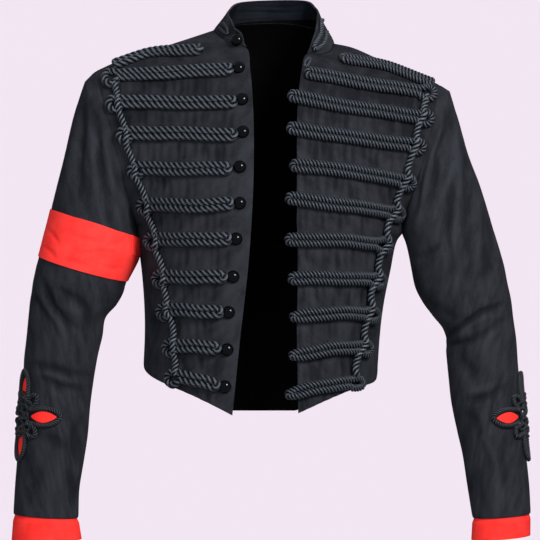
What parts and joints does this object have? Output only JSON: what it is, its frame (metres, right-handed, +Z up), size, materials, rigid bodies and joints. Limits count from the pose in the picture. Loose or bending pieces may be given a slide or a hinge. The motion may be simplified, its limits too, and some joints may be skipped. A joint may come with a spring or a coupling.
{
  "type": "hussar jacket",
  "caption": "Waist-length black hussar jacket, open at the front, with rows of twisted cord frogging, a stand collar, glossy dome buttons, a red armband and red inner cuffs.",
  "frame": {"origin": "between the two points where the shoulder seams meet the collar, where the wearer's shoulders hold the jacket", "axes": "+Z up, the chest faces -Y, +X towards the wearer's left"},
  "size_m": [0.7026, 0.2374, 0.7321],
  "materials": {
    "black_wool": "fine black wool twill",
    "black_cord": "twisted satin cord",
    "red_cloth": "smooth red cloth",
    "black_gloss": "polished black"
  },
  "bodies": {
    "root": {"armband": "red_cloth", "back": "black_wool", "button_00": "black_gloss", "button_01": "black_gloss", "button_02": "black_gloss", "button_03": "black_gloss", "button_04": "black_gloss", "button_05": "black_gloss", "button_06": "black_gloss", "button_07": "black_gloss", "button_08": "black_gloss", "button_09": "black_gloss", "button_10": "black_gloss", "collar": "black_wool", "collar_cord_left": "black_cord", "collar_cord_right": "black_cord", "cuff_left": "red_cloth", "cuff_right": "red_cloth", "frog_left_00": "black_cord", "frog_left_01": "black_cord", "frog_left_02": "black_cord", "frog_left_03": "black_cord", "frog_left_04": "black_cord", "frog_left_05": "black_cord", "frog_left_06": "black_cord", "frog_left_07": "black_cord", "frog_left_08": "black_cord", "frog_left_09": "black_cord", "frog_left_10": "black_cord", "frog_right_00": "black_cord", "frog_right_01": "black_cord", "frog_right_02": "black_cord", "frog_right_03": "black_cord", "frog_right_04": "black_cord", "frog_right_05": "black_cord", "frog_right_06": "black_cord", "frog_right_07": "black_cord", "frog_right_08": "black_cord", "frog_right_09": "black_cord", "frog_right_10": "black_cord", "front_left": "black_wool", "front_right": "black_wool", "knot_leaf_left_1": "red_cloth", "knot_leaf_left_2": "red_cloth", "knot_leaf_left_3": "red_cloth", "knot_leaf_left_4": "red_cloth", "knot_leaf_right_1": "red_cloth", "knot_leaf_right_2": "red_cloth", "knot_leaf_right_3": "red_cloth", "knot_leaf_right_4": "red_cloth", "sleeve_knot_left": "black_cord", "sleeve_knot_right": "black_cord", "sleeve_left": "black_wool", "sleeve_right": "black_wool"}
  },
  "joints": []
}
